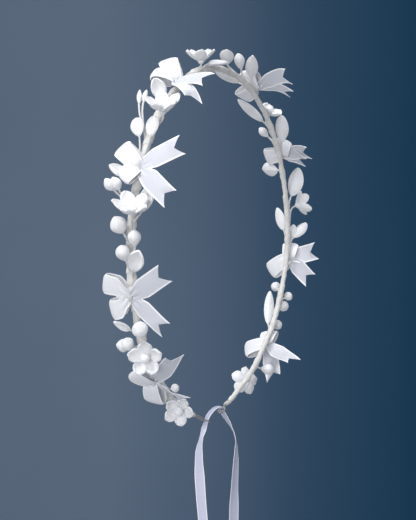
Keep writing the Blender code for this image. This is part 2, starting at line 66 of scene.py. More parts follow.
def wireAt(clock):
    r = hoop["radius"] + softStep(hoop["left" if clock < 0 else "right"], abs(clock))
    a = radians(clock)
    return centre + Vector((sin(a), 0, cos(a))) * r


def headings(clock):
    a = radians(clock)
    up = Vector((cos(a), 0, -sin(a)))
    return Vector((sin(a), 0, cos(a))), up if clock < 0 else -up


def place(clock, out, side):
    return wireAt(clock) + headings(clock)[0] * out + toPlusY * side


def bodyOf(clock):
    return "left_half" if clock < 0 else "right_half"


def squareTo(direction, hint):
    return (hint - direction * hint.dot(direction)).normalized()


def smoothRoute(points, spacing):
    points = [Vector(p) for p in points]
    ends = [points[0] * 2 - points[1], *points, points[-1] * 2 - points[-2]]
    fine = []
    for a, b, c, d in zip(ends, ends[1:], ends[2:], ends[3:]):
        for step in range(16):
            t = step / 16
            fine.append(0.5 * (b * 2 + (c - a) * t + (a * 2 - b * 5 + c * 4 - d) * t ** 2
                               + (b * 3 - a - c * 3 + d) * t ** 3))
    fine.append(points[-1])
    run = [0.0]
    for a, b in zip(fine, fine[1:]):
        run.append(run[-1] + (b - a).length)
    count = max(2, round(run[-1] / spacing))
    route, k = [], 0
    for index in range(count + 1):
        wanted = run[-1] * index / count
        while k < len(fine) - 2 and run[k + 1] < wanted:
            k += 1
        route.append(fine[k].lerp(fine[k + 1], min(1.0, (wanted - run[k]) / (run[k + 1] - run[k]))))
    return route


# how each finish is mixed: patterns read Object coordinates, or the strip's own UV map
def shaderOf(name, colour, roughness, metallic=0.0):
    made = bpy.data.materials.new(name)
    made.use_nodes = True
    shader = made.node_tree.nodes["Principled BSDF"]
    shader.inputs["Base Color"].default_value = (*colour, 1)
    shader.inputs["Roughness"].default_value = roughness
    shader.inputs["Metallic"].default_value = metallic
    made.diffuse_color = (*colour, 1)
    return made, shader


def grey(level):
    return (level,) * 3


def letLightIn(shader, weight, reach, depth):
    shader.inputs["Subsurface Weight"].default_value = weight
    shader.inputs["Subsurface Radius"].default_value = reach
    shader.inputs["Subsurface Scale"].default_value = depth


class Nodes:
    def __init__(self, material, shader):
        self.tree = material.node_tree
        self.shader = shader
        self.coords = self.add("ShaderNodeTexCoord")

    def add(self, kind, **values):
        node = self.tree.nodes.new(kind)
        for key, value in values.items():
            if hasattr(node, key):
                setattr(node, key, value)
            else:
                node.inputs[key].default_value = value
        return node

    def link(self, start, end):
        self.tree.links.new(start, end)

    def feed(self, start, socket):
        self.link(start, self.shader.inputs[socket])

    def noise(self, scale, detail=3.0, space="Object", stretch=None, distortion=0.0):
        node = self.add("ShaderNodeTexNoise", Scale=scale, Detail=detail, Distortion=distortion)
        source = self.coords.outputs[space]
        if stretch:
            mapping = self.add("ShaderNodeMapping", Scale=stretch)
            self.link(source, mapping.inputs["Vector"])
            source = mapping.outputs["Vector"]
        self.link(source, node.inputs["Vector"])
        return node.outputs["Fac"]

    def ramp(self, source, *stops):
        node = self.add("ShaderNodeValToRGB")
        elements = node.color_ramp.elements
        while len(elements) < len(stops):
            elements.new(0.5)
        for element, (position, colour) in zip(elements, stops):
            element.position = position
            element.color = (*colour, 1) if len(colour) == 3 else colour
        self.link(source, node.inputs["Fac"])
        return node.outputs["Color"]

    def mix(self, factor, first, second, blend="MIX"):
        node = self.add("ShaderNodeMix", data_type="RGBA", blend_type=blend)
        for socket, value in ((0, factor), (6, first), (7, second)):
            if hasattr(value, "is_linked"):
                self.link(value, node.inputs[socket])
            else:
                node.inputs[socket].default_value = value if socket == 0 else (*value, 1)
        return node.outputs[2]

    def math(self, operation, first, second=0.0):
        node = self.add("ShaderNodeMath", operation=operation)
        for k, value in enumerate((first, second)):
            if hasattr(value, "is_linked"):
                self.link(value, node.inputs[k])
            else:
                node.inputs[k].default_value = value
        return node.outputs[0]

    def bump(self, height, strength, distance, before=None):
        node = self.add("ShaderNodeBump", Strength=strength, Distance=distance)
        self.link(height, node.inputs["Height"])
        if before:
            self.link(before, node.inputs["Normal"])
        return node.outputs["Normal"]


# per finish: how fine each pattern is (noise scale, on metres) and how deep (metres)
clayGrain = {"drift": 160, "polish": 700, "lumps": 420, "lumpDepth": 0.00035,
             "pores": 3600, "poreDepth": 0.00006}


def clay(name, light, shade, low, high):
    made, shader = shaderOf(name, light, (low + high) / 2)
    n = Nodes(made, shader)
    drift = n.noise(clayGrain["drift"], 3)
    n.feed(n.ramp(drift, (0.34, shade), (0.62, light)), "Base Color")
    polish = n.noise(clayGrain["polish"], 2)
    n.feed(n.ramp(polish, (0.3, grey(low)), (0.7, grey(high))), "Roughness")
    lumps = n.bump(n.noise(clayGrain["lumps"], 2), 0.45, clayGrain["lumpDepth"])
    pores = n.bump(n.noise(clayGrain["pores"], 3), 0.25, clayGrain["poreDepth"], lumps)
    n.feed(pores, "Normal")
    letLightIn(shader, 0.22, (1.0, 0.85, 0.7), 0.0012)
    return made


satinWeave = {"streaks": 60, "streakStretch": (1.0, 0.06, 1.0), "edgeFrom": 0.4, "edgeTo": 0.45,
              "ribDepth": 0.00005, "edgeDepth": 0.00012, "creases": 240, "creaseDepth": 0.0003,
              "gloss": 0.34, "edgeGloss": 0.55}


def satin(name, face, edge, threads):
    made, shader = shaderOf(name, face, 0.36)
    n = Nodes(made, shader)
    split = n.add("ShaderNodeSeparateXYZ")
    n.link(n.coords.outputs["UV"], split.inputs["Vector"])
    across = n.math("ABSOLUTE", n.math("SUBTRACT", split.outputs["X"], 0.5))
    selvedge = n.ramp(across, (satinWeave["edgeFrom"], grey(0)), (satinWeave["edgeTo"], grey(1)))
    streaks = n.noise(satinWeave["streaks"], 3, "UV", satinWeave["streakStretch"])
    cloth = n.ramp(streaks, (0.3, tuple(c * 0.93 for c in face)), (0.7, face))
    n.feed(n.mix(selvedge, cloth, edge), "Base Color")
    weave = n.add("ShaderNodeTexWave", wave_type="BANDS", bands_direction="X", Scale=threads, Distortion=0.6)
    n.link(n.coords.outputs["UV"], weave.inputs["Vector"])
    ribs = n.bump(weave.outputs["Fac"], 0.18, satinWeave["ribDepth"])
    rolled = n.bump(selvedge, 0.5, satinWeave["edgeDepth"], ribs)
    creases = n.bump(n.noise(satinWeave["creases"], 2), 0.3, satinWeave["creaseDepth"], rolled)
    n.feed(creases, "Normal")
    gloss = n.ramp(selvedge, (0.0, grey(satinWeave["gloss"])), (1.0, grey(satinWeave["edgeGloss"])))
    n.feed(gloss, "Roughness")
    shader.inputs["Sheen Weight"].default_value = 0.12
    shader.inputs["Sheen Roughness"].default_value = 0.35
    letLightIn(shader, 0.12, (1.0, 0.95, 0.95), 0.0008)
    return made


# crepe paper tape: wrinkles along the strip, and a painted shadow line where each turn laps the last
crepeGrain = {"wrinkles": 34, "wrinkleStretch": (9.0, 1.0, 1.0), "wrinkleDepth": 0.0003, "patches": 210,
              "fibres": 2600, "fibreDepth": 0.00006, "lapShadowGrey": 0.84}


def crepe(name, light, shade):
    made, shader = shaderOf(name, light, 0.8)
    n = Nodes(made, shader)
    wrinkles = n.noise(crepeGrain["wrinkles"], 3, "UV", crepeGrain["wrinkleStretch"], 0.4)
    patches = n.noise(crepeGrain["patches"], 2)
    split = n.add("ShaderNodeSeparateXYZ")
    n.link(n.coords.outputs["UV"], split.inputs["Vector"])
    # painted shadow: each turn of tape is darkened where it laps the last
    lap = grey(crepeGrain["lapShadowGrey"])
    turn = n.math("FRACT", split.outputs["X"])
    lapShadow = n.ramp(turn, (0.0, lap), (0.1, grey(1)), (0.93, grey(1)), (1.0, lap))
    paper = n.mix(n.ramp(patches, (0.35, grey(0)), (0.65, grey(1))), shade, light)
    paper = n.mix(1.0, paper, n.ramp(wrinkles, (0.3, grey(0.9)), (0.6, grey(1))), "MULTIPLY")
    n.feed(n.mix(1.0, paper, lapShadow, "MULTIPLY"), "Base Color")
    n.feed(n.ramp(wrinkles, (0.2, grey(0.68)), (0.8, grey(0.9))), "Roughness")
    ridges = n.bump(wrinkles, 0.8, crepeGrain["wrinkleDepth"])
    fibres = n.bump(n.noise(crepeGrain["fibres"], 2), 0.25, crepeGrain["fibreDepth"], ridges)
    n.feed(fibres, "Normal")
    letLightIn(shader, 0.15, (1.0, 0.93, 0.85), 0.0008)
    return made


wireGrain = {"dulling": 900, "scratches": 3000, "scratchDepth": 0.00003}


def drawnWire(name, light, dark):
    made, shader = shaderOf(name, light, 0.42, 0.55)
    n = Nodes(made, shader)
    dull = n.noise(wireGrain["dulling"], 4)
    n.feed(n.ramp(dull, (0.35, dark), (0.65, light)), "Base Color")
    n.feed(n.ramp(dull, (0.3, grey(0.55)), (0.7, grey(0.34))), "Roughness")
    scratches = n.bump(n.noise(wireGrain["scratches"], 2), 0.3, wireGrain["scratchDepth"])
    n.feed(scratches, "Normal")
    return made


finish = {
    "clay": clay("white modelling clay", (0.86, 0.86, 0.87), (0.79, 0.79, 0.8), 0.52, 0.7),
    "bead": clay("polished clay bead", (0.9, 0.9, 0.9), (0.84, 0.84, 0.85), 0.34, 0.5),
    # the bow satin comes in two copies of one ribbon: a darker one for the tails, painted shade, and a
    # lighter one for the loops and knot pad, painted light
    "bow": satin("bow satin", (0.67, 0.68, 0.73), (0.95, 0.95, 0.97), 60),
    "loop": satin("bow satin painted lighter for loops", (0.86, 0.86, 0.89), (0.96, 0.96, 0.97), 60),
    "tie": satin("tie satin", (0.6, 0.61, 0.76), (0.93, 0.93, 0.97), 36),
    "tape": crepe("cream floral tape", (0.88, 0.87, 0.84), (0.8, 0.78, 0.74)),
    "stem": crepe("white stem tape", (0.86, 0.86, 0.85), (0.78, 0.77, 0.75)),
    "wire": drawnWire("dull bare wire", (0.46, 0.46, 0.45), (0.27, 0.27, 0.26)),
}
print("materials ready")


def newObject(name, data):
    made = bpy.data.objects.new(name, data)
    bpy.context.scene.collection.objects.link(made)
    return made


# the camera looks from the left, almost along the hoop's plane
camera = {"place": (-0.6568, -0.3315, -0.0411), "azimuth": -62.83, "elevation": 4.6, "lens": 96.8,
          "sensor": 36, "nearest": 0.01, "farthest": 50}
cameraData = bpy.data.cameras.new("cameraNearSide")
cameraData.lens = camera["lens"]
cameraData.sensor_width = camera["sensor"]
cameraData.clip_start = camera["nearest"]
cameraData.clip_end = camera["farthest"]
cameraObject = newObject("cameraNearSide", cameraData)
turn, rise = radians(camera["azimuth"]), radians(camera["elevation"])
towardsViewer = Vector((sin(turn) * cos(rise), -cos(turn) * cos(rise), sin(rise)))
cameraObject.rotation_mode = "QUATERNION"
cameraObject.rotation_quaternion = (-towardsViewer).to_track_quat("-Z", "Y")
cameraObject.location = camera["place"]
bpy.context.scene.camera = cameraObject
bpy.context.scene.view_settings.view_transform = "Standard"  # keeps whites white


def only(obj):
    bpy.ops.object.select_all(action="DESELECT")
    obj.select_set(True)
    bpy.context.view_layer.objects.active = obj


def applyModifier(obj, kind, **settings):
    only(obj)
    modifier = obj.modifiers.new(kind.lower(), kind)
    for key, value in settings.items():
        setattr(modifier, key, value)
    bpy.ops.object.modifier_apply(modifier=modifier.name)


def editAll(obj):
    only(obj)
    bpy.ops.object.mode_set(mode="EDIT")
    bpy.ops.mesh.select_all(action="SELECT")


def smoothShade(obj, sharpFrom=60):
    only(obj)
    bpy.ops.object.shade_smooth_by_angle(angle=radians(sharpFrom))


uvPerMetre = 100  # a strip's map runs this much for each metre of its length


def newMesh(name, points, faces, material, uvs=None):
    mesh = bpy.data.meshes.new(name)
    mesh.from_pydata([tuple(p) for p in points], [], faces)
    mesh.materials.append(material)
    if uvs:
        layer = mesh.uv_layers.new(name="UVMap")
        for loop in mesh.loops:
            layer.data[loop.index].uv = uvs[loop.vertex_index]
    return newObject(name, mesh)


def tube(name, path, radiusAt, sides, material, hint=toPlusY, twist=0.0):
    # rings along a path; radiusAt(distance, angle) gives the surface
    points, uvs, faces, run = [], [], [], 0.0
    across = hint
    for index, here in enumerate(path):
        if index:
            run += (here - path[index - 1]).length
        ahead = path[min(index + 1, len(path) - 1)] - path[max(index - 1, 0)]
        heading = ahead.normalized()
        across = squareTo(heading, across)
        up = heading.cross(across)
        for k in range(sides + 1):
            angle = tau * k / sides
            r = radiusAt(run, angle % tau)
            points.append(here + across * (r * cos(angle)) + up * (r * sin(angle)))
            uvs.append((angle / tau + run * twist, run * uvPerMetre))
    row = sides + 1
    for index in range(len(path) - 1):
        for k in range(sides):
            a = index * row + k
            faces.append((a, a + 1, a + row + 1, a + row))
    faces.append(tuple(range(sides - 1, -1, -1)))
    last = (len(path) - 1) * row
    faces.append(tuple(last + k for k in range(sides)))
    made = newMesh(name, points, faces, material, uvs)
    editAll(made)
    bpy.ops.mesh.remove_doubles(threshold=1e-6)
    bpy.ops.mesh.normals_make_consistent(inside=False)
    bpy.ops.object.mode_set(mode="OBJECT")
    return made


def strip(name, rows, material, thickness, run=None):
    # a ribbon from rows of points across it, with its own weave map
    count = len(rows[0])
    if run is None:
        run = [0.0]
        for a, b in zip(rows, rows[1:]):
            run.append(run[-1] + (b[count // 2] - a[count // 2]).length)
    points = [p for row in rows for p in row]
    uvs = [(k / (count - 1), r * uvPerMetre) for r in run for k in range(count)]
    faces = []
    for i in range(len(rows) - 1):
        for k in range(count - 1):
            a = i * count + k
            faces.append((a, a + 1, a + count + 1, a + count))
    made = newMesh(name, points, faces, material, uvs)
    applyModifier(made, "SOLIDIFY", thickness=thickness, offset=0.0, use_even_offset=False)
    return made


def joined(name, parts):
    bpy.ops.object.select_all(action="DESELECT")
    for part in parts:
        part.select_set(True)
    bpy.context.view_layer.objects.active = parts[0]
    bpy.ops.object.join()
    parts[0].name = name
    parts[0].data.name = name
    return parts[0]


def settle(obj, body, slot, *nodes):
    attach(obj, body)
    if nodes:
        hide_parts(*nodes)


# the tie ribbon: one satin strip through both eyelets, in its two free lengths
tie = {"width": 0.006, "thickness": 0.00022, "pinch": 0.0031, "bendSpacing": 0.0009, "tailSpacing": 0.003,
       "fold": 0.0003, "crown": 0.0001, "columns": 9,
       "run": ((0.0043, 0, -0.0901), (0.0022, 0, -0.0891), (-0.001, 0, -0.0888),
               (-0.005, 0, -0.0893), (-0.0088, 0, -0.0906), (-0.0118, 0, -0.0924),
               (-0.0131, 0, -0.0941), (-0.014, 0.0004, -0.0968), (-0.0149, 0.0018, -0.102)),
       "leftTail": ((-0.0149, 0.0018, -0.102), (-0.0154, 0.003, -0.11), (-0.0152, 0.003, -0.12),
                    (-0.0146, 0.0023, -0.135), (-0.0138, 0.0012, -0.152), (-0.0134, 0.0004, -0.175),
                    (-0.0132, 0, -0.21), (-0.0132, 0, -0.26), (-0.0132, 0, -0.343)),
       "rightBend": ((0.0049, -0.0001, -0.0914), (0.0059, -0.0009, -0.0938), (0.0072, -0.003, -0.098)),
       "rightTail": ((0.0072, -0.003, -0.098), (0.0084, -0.0056, -0.1035), (0.0089, -0.0066, -0.109),
                     (0.0088, -0.0066, -0.12), (0.0084, -0.006, -0.135), (0.0082, -0.0057, -0.155),
                     (0.008, -0.0055, -0.2), (0.008, -0.0055, -0.26), (0.008, -0.0055, -0.343)),
       # turn of the ribbon's width about the plumb line, at each height below the hoop's centre
       "leftTurn": ((0.09, 0), (0.097, 8), (0.103, 36), (0.1135, 17), (0.124, 2), (0.15, 6), (0.2, -20),
                    (0.343, -45)),
       "rightTurn": ((0.0905, 0), (0.0935, 12), (0.0977, 30), (0.1015, 52), (0.1068, 64), (0.1128, 80),
                     (0.1204, 93), (0.132, 101), (0.1453, 119), (0.2, 140), (0.343, 170)),
       # its width, gathered in the eyelets and spreading further along
       "leftWidth": ((0, 0.0028), (0.005, 0.0028), (0.012, 0.0027), (0.019, 0.0024), (0.025, 0.0034),
                     (0.038, 0.0056), (0.05, 0.006)),
       "rightWidth": ((0, 0.003), (0.002, 0.0036), (0.009, 0.0046), (0.02, 0.0056), (0.03, 0.006))}


def tieLength(name, bend, tail, turns, widths):
    path = smoothRoute([centre + Vector(p) for p in bend], tie["bendSpacing"])[:-1]
    path += smoothRoute([centre + Vector(p) for p in tail], tie["tailSpacing"])
    rows, run = [], 0.0
    for index, here in enumerate(path):
        if index:
            run += (here - path[index - 1]).length
        heading = (path[min(index + 1, len(path) - 1)] - path[max(index - 1, 0)]).normalized()
        below = centre.z - here.z
        turn = radians(softStep(turns, below))
        across = squareTo(heading, toPlusY * cos(turn) + Vector((1, 0, 0)) * sin(turn))
        face = across.cross(heading)
        half = softStep(widths, run) / 2
        fold = max(0.0, 1 - (half * 2 - tie["pinch"]) / (tie["width"] - tie["pinch"]))
        row = []
        for k in range(tie["columns"]):
            t = 2 * k / (tie["columns"] - 1) - 1
            lift = fold * tie["fold"] * cos(t * 2.5 * pi) + tie["crown"] * cos(t * pi)
            row.append(here + across * (half * t) + face * lift)
        rows.append(row)
    made = strip(name, rows, finish["tie"], tie["thickness"])
    smoothShade(made)
    return made, path, run


tieLeft, leftPath, leftRun = tieLength("tieRibbonLeft", tie["run"], tie["leftTail"], tie["leftTurn"],
                                       tie["leftWidth"])
tieRight, rightPath, rightRun = tieLength("tieRibbonRight", tie["rightBend"], tie["rightTail"],
                                          tie["rightTurn"], tie["rightWidth"])
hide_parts("tie_ribbon_left")
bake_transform(tieLeft)
settle(tieRight, "right_half", "tie_ribbon", "tie_ribbon_right")
print("tie ribbon hung:", round(leftRun, 3), round(rightRun, 3))


# the hoop: tape wound on in slanting turns, with lumps where stems are caught under it
winding = {"pitch": 0.0062, "step": 0.00048, "lap": 0.06, "lump": 0.0008, "spacing": 0.0008, "sides": 20,
           "first": -163, "last": 174, "sunk": 0.00015, "wobble": 0.00026, "thinnerRight": 0.28}
# clock angles at which a stem goes under the tape; its lump is highest 1.5 degrees on
feet = [-149, -124, -83, -50, -14, 49.5, 84, 152, -137, -114.5, -94.5, -90, -86.5, 17.5, 55, 112, 115.3,
        120.5, 127, 145, -120, -75, -60.5, 93.3, -114.5, -97, -80, -67.5, -41.5, 9.5, 23.5, 24, 47, 57, 67.5,
        78.5, 91, 127.5]
lump = {"before": -0.6, "reach": 7, "peak": 1.5, "spread": 2.6, "most": 1.3}


def lumpAt(clock):
    swell = 0.0
    for foot in feet:
        gap = (foot - clock) if foot < 0 else (clock - foot)  # stems run on below their feet
        if lump["before"] < gap < lump["reach"]:
            swell += exp(-((gap - lump["peak"]) / lump["spread"]) ** 2)
    return min(lump["most"], swell)


def hoopSurface():
    arc = degrees(winding["spacing"] / hoop["radius"])
    sweep = winding["last"] - winding["first"]
    count = int(sweep / arc)
    clocks = [winding["first"] + sweep * k / count for k in range(count + 1)]
    path = [wireAt(clock) for clock in clocks]
    total = len(path) - 1
    lumps = [lumpAt(clock) for clock in clocks]

    def radiusAt(run, angle):
        at = min(total, int(run / winding["spacing"] + 0.5))
        phase = (run / winding["pitch"] - angle / tau) % 1.0
        lap, step = winding["lap"], winding["step"]
        edge = step * (1 - phase) if phase > lap else step * (phase / lap) * 0.94
        r = hoop["tape"] / 2 - winding["sunk"] + edge + winding["lump"] * lumps[at] * 0.5
        spot = path[at] * 300 + Vector((cos(angle), sin(angle), 0)) * 0.7
        # narrower towards both bare ends, and thinner all along the right half
        fade = min(1.0, (total - at) / 30 + 0.72) * min(1.0, at / 14 + 0.55)
        fade *= 1 - winding["thinnerRight"] * min(1.0, max(0.0, (clocks[at] + 5) / 20))
        return (r + noise.noise(spot) * winding["wobble"]) * fade

    lapEvery = -1 / winding["pitch"]
    made = tube("wrappedHoop", path, radiusAt, winding["sides"], finish["tape"], toPlusY, lapEvery)
    smoothShade(made, 50)
    return made


wrapped = hoopSurface()
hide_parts("tape_wrap_left", "tape_wrap_right")
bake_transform(wrapped)
print("hoop wrapped")


# the bare wire ends: a twist of two strands, then one turned round into an eyelet
wireEnds = {"left": {"sign": -1, "last": 163, "bare": 0.012, "slope": 22, "strand": 0.00092},
            "right": {"sign": 1, "last": 174, "bare": 0.002, "slope": 27, "strand": 0.00072},
            "eyelet": 0.0036, "twist": 0.0046, "topGap": 0.0003, "coreSteps": 60, "spacing": 0.0004,
            "tucked": 0.004, "taper": 0.0015, "apart": 0.52, "ringFrom": 196, "ringTo": 536, "ringStep": 10,
            "ringLength": 0.9, "ringHeight": 0.72, "ringRise": 0.0003, "ringThickness": 0.84}


def bareEnd(side):
    end, spacing = wireEnds[side], wireEnds["spacing"]
    sign, wire, count = end["sign"], hoop["wire"], wireEnds["coreSteps"]
    first = degrees(wireEnds["topGap"] / hoop["radius"])
    inside = [wireAt(sign * (first + (end["last"] - first) * k / count)) for k in range(count + 1)]
    slope = radians(end["slope"])
    along = Vector((-sign * cos(slope), 0, -sin(slope)))
    up = along.cross(toPlusY)
    r = wireEnds["eyelet"] / 2 + wire / 2
    start = inside[-1]
    hub = start + along * (end["bare"] + r * 1.25)
    straight = end["bare"] + r * 0.25
    parts = [tube("core", inside, lambda s, a: wire / 2, 10, finish["wire"])]
    tucked, gap = wireEnds["tucked"], end["strand"] * wireEnds["apart"]
    for strand in (0, pi):
        points = []
        steps = max(8, int(straight / spacing))
        for k in range(steps + 1):
            s = -tucked + (straight + tucked) * k / steps
            a = tau * s / wireEnds["twist"] + strand
            fade = min(1.0, max(0.0, (straight - s) / wireEnds["taper"])) if strand else 1.0
            aside = (toPlusY * cos(a) + up * sin(a)) * gap * max(0.25, fade)
            points.append(start + along * s + aside)
        parts.append(tube("strand", points, lambda s, a: end["strand"] / 2, 10, finish["wire"]))
    ring = []
    for bend in range(wireEnds["ringFrom"], wireEnds["ringTo"], wireEnds["ringStep"]):
        a = radians(bend)
        turned = (bend - wireEnds["ringFrom"]) / (wireEnds["ringTo"] - wireEnds["ringFrom"])
        ring.append(hub + along * (r * wireEnds["ringLength"] * cos(a))
                    + toPlusY * (r * wireEnds["ringHeight"] * sin(a))
                    + up * (wireEnds["ringRise"] * turned))
    lead = [start + along * (straight - 0.0008), start + along * (straight - 0.0002)]
    ringRadius = wire / 2 * wireEnds["ringThickness"]
    parts.append(tube("eye", smoothRoute(lead + ring, spacing), lambda s, a: ringRadius, 12, finish["wire"]))
    made = joined("bareWire" + side.title(), parts)
    smoothShade(made)
    settle(made, side + "_half", "bare_wire", "core_wire_" + side)


bareEnd("left")
bareEnd("right")
print("wire ends bent")


def primitive(kind, **settings):
    bpy.ops.object.select_all(action="DESELECT")
    getattr(bpy.ops.mesh, "primitive_" + kind + "_add")(**settings)
    return bpy.context.view_layer.objects.active


def copyOf(mould, name, material):
    # a copy with its own mesh
    mesh = mould.data.copy()
    mesh.name = name
    mesh.materials.clear()
    mesh.materials.append(material)
    return newObject(name, mesh)


# stems: thread wound on wire, thicker near the tape; "under" is how far each runs on beneath it
stems = {"thick": 0.00055, "sides": 10, "under": 0.0075, "ridge": 0.00006, "ridgePitch": 0.0021,
         "spacing": 0.0005, "depths": ((1, 0.0011), (0.55, 0.00155), (0.2, 0.0019)), "exit": 0.0021,
         "bend": 0.45, "taper": 0.012}


def stemPath(foot, base, axis):
    # under the tape along the hoop, out of it, and round to the base of the clay
    up = headings(foot)[1]
    spot = wireAt(foot)
    lean = base - spot
    lean = (lean - up * lean.dot(up)).normalized()
    sign = 1 if foot < 0 else -1
    points = []
    for share, depth in stems["depths"]:
        clock = foot - sign * degrees(stems["under"] * share / hoop["radius"])
        points.append(wireAt(clock) + squareTo(headings(clock)[1], lean) * depth)
    control = base - axis * (stems["bend"] * (base - spot).length)
    start = spot + lean * stems["exit"]
    for t in (0.3, 0.6, 0.85, 1.0):
        points.append(start * (1 - t) ** 2 + control * (2 * t * (1 - t)) + base * t * t)
    return smoothRoute(points, stems["spacing"])


def stem(name, foot, base, axis, thin=1.0):
    path = stemPath(foot, base, axis)
    wave = dice.uniform(0, 6)
    turns = tau / stems["ridgePitch"]

    def radiusAt(run, angle):
        ridge = stems["ridge"] * sin(run * turns + angle + wave)
        return (stems["thick"] + ridge) * thin * (1.25 - 0.35 * min(1.0, run / stems["taper"]))

    return tube(name, path, radiusAt, stems["sides"], finish["stem"])


# one bud: a ball rolled between the fingers, a little dented and creased
budLook = {"stretch": 1.06, "roundness": 0.72, "dent": 0.06, "crease": 0.05, "creaseWidth": 0.16}


def budShape():
    made = primitive("uv_sphere", segments=28, ring_count=18, radius=0.5)
    made.name = "budShape"
    editAll(made)
    bpy.ops.transform.resize(value=(1, 1, budLook["stretch"]))
    bpy.ops.object.mode_set(mode="OBJECT")
    applyModifier(made, "SUBSURF", levels=1, render_levels=1)
    made.hide_render = True
    return made


budMould = budShape()


def bud(name, base, tip, across, belly, seed):
    axis = (tip - base).normalized()
    length = (tip - base).length
    side = squareTo(axis, toPlusY)
    made = copyOf(budMould, name, finish["clay"])
    shift = Vector((seed * 3.1, seed * 1.7, 0))
    for vertex in made.data.vertices:
        p = vertex.co
        t = min(1.0, max(0.0, p.z / budLook["stretch"] + 0.5))
        swell = sin(pi * t ** belly) ** budLook["roundness"] if 0 < t < 1 else 0.0
        flat = Vector((p.x, p.y, 0))
        spin = flat.normalized() if flat.length > 1e-6 else Vector((0, 0, 0))
        r = across / 2 * swell
        dent = 1 + budLook["dent"] * noise.noise(Vector((spin.x, spin.y, t * 2)) * 1.6 + shift)
        offCrease = (atan2(spin.y, spin.x) - 1 - t) / budLook["creaseWidth"]
        crease = 1 - budLook["crease"] * exp(-offCrease ** 2)
        local = spin * (r * dent * crease)
        vertex.co = base + axis * (length * t) + side * local.x + axis.cross(side) * local.y
    made.data.update()
    smoothShade(made)
    return made


def slabShape(name, rows):
    # a flat slab of clay, from its base at the origin to its tip
    made = primitive("grid", x_subdivisions=16, y_subdivisions=rows, size=1.0)
    made.name = name
    editAll(made)
    bpy.ops.transform.translate(value=(0, 0.5, 0))
    bpy.ops.object.mode_set(mode="OBJECT")
    made.hide_render = True
    return made


def thicken(slab, look):
    applyModifier(slab, "SOLIDIFY", thickness=look["thickness"], offset=0.0)
    applyModifier(slab, "BEVEL", width=look["edge"], segments=2, limit_method="ANGLE", angle_limit=0.9)
    applyModifier(slab, "SUBSURF", levels=1, render_levels=1)
    smoothShade(slab)


# one leaf: a slab drawn in to both ends, thumbed hollow along its middle
leafLook = {"thickness": 0.00095, "edge": 0.0003, "thinnest": 0.00035, "fullness": 0.62, "arch": 0.45,
            "vein": 0.00022, "veinWidth": 0.1, "ruffle": 0.00022}
leafMould = slabShape("leafShape", 28)


def leaf(name, base, tip, width, point, cup, turnBy, outward, seed):
    axis = (tip - base).normalized()
    length = (tip - base).length
    normal = squareTo(axis, outward)
    normal = Matrix.Rotation(radians(turnBy), 3, axis) @ normal
    across = normal.cross(axis)
    made = copyOf(leafMould, name, finish["clay"])
    shift = Vector((seed * 2.3, seed, 0))
    for vertex in made.data.vertices:
        u, t = vertex.co.x * 2, vertex.co.y
        outline = sin(pi * min(1.0, t) ** point) ** leafLook["fullness"] if 0 < t < 1 else 0.0
        half = max(leafLook["thinnest"], width / 2 * outline)
        hollow = cup * (1.35 * u * u - 0.35) * outline
        arch = cup * leafLook["arch"] * sin(pi * t)
        vein = leafLook["vein"] * exp(-(u / leafLook["veinWidth"]) ** 2) * sin(pi * t)
        ruffle = leafLook["ruffle"] * noise.noise(Vector((u * 1.3, t * 2.2, 0)) + shift) * outline
        rise = hollow - arch - vein + ruffle
        vertex.co = base + axis * (length * t) + across * (half * u) + normal * rise
    made.data.update()
    thicken(made, leafLook)
    return made


# one petal: a round pad, thick in its middle and thin at its rim, cupped like a spoon
petalLook = {"thickness": 0.00105, "edge": 0.00035, "thinnest": 0.0004, "heart": 0.1, "middle": 0.6,
             "pad": 0.385, "spoon": 0.09, "puff": 0.0009, "wave": 0.0003, "tuck": 0.0003}
petalMould = slabShape("petalShape", 18)


def petal(name, head, axis, side, radius, depth, seed):
    # starts at the flower's heart and ends at its rim
    across = axis.cross(side)
    made = copyOf(petalMould, name, finish["clay"])
    shift = Vector((seed * 1.9, seed * 0.7, 0))
    heart, middle, pad = petalLook["heart"] * radius, petalLook["middle"] * radius, petalLook["pad"] * radius
    for vertex in made.data.vertices:
        u, t = vertex.co.x * 2, vertex.co.y
        reach = heart + 0.9 * radius * t
        past = max(0.0, (reach - middle) / (radius - middle))
        if past:
            half = pad * sqrt(max(0.0, 1 - past ** 2.2))
        else:
            half = pad * (0.55 + 0.45 * sin(pi / 2 * reach / middle))
        half = max(petalLook["thinnest"], half)
        out = reach - heart * u * u * past
        share = out / radius
        rise = depth * share ** (1.5 - 70 * depth) + petalLook["spoon"] * radius * u * u * share
        puff = -petalLook["puff"] * sin(pi * min(1.0, t)) * (1 - u * u)
        wavy = petalLook["wave"] * noise.noise(Vector((u * 1.4, t * 1.8, 0)) + shift)
        tuck = petalLook["tuck"] * u * (1 - 0.4 * t)  # one edge lies over the next petal
        vertex.co = head + side * out + across * (half * u) + axis * (rise + puff + wavy + tuck)
    made.data.update()
    thicken(made, petalLook)
    return made


# foot clock, head (clock, out, side), facing (out, side, up the hoop), width, depth
blossoms = {
    "Left1": (-149, (-145, 0.0062, -0.007), (0.6, -0.45, 0.65), 0.0145, 0.003),
    "Left2": (-124, (-120, 0.009, -0.0062), (0.85, -0.3, 0.4), 0.017, 0.003),
    "Left3": (-83, (-79, 0.008, -0.004), (0.58, -0.22, 0.78), 0.0175, 0.0062),
    "Left4": (-50, (-47, 0.007, -0.0068), (0.9, -0.15, 0.4), 0.0175, 0.0065),
    "Left5": (-14, (-12, 0.005, -0.0005), (0.98, 0, 0.15), 0.015, 0.005),
    "Right1": (49.5, (45.5, 0.007, 0.003), (0.62, -0.45, 0.64), 0.0165, 0.0035),
    "Right2": (84, (81, 0.007, -0.004), (0.8, -0.55, 0.15), 0.0145, 0.005),
    "Right3": (152, (148.5, 0.0095, 0.0065), (0.55, 0.75, 0.25), 0.0165, 0.003)}


flowerHead = {"petals": 5, "beadRadius": 0.0023, "beadDent": 0.035, "calyxWidth": 0.0034,
              "calyxBelow": 0.0021, "calyxAbove": 0.0012, "petalLift": 0.0003, "turnSpread": 0.06}


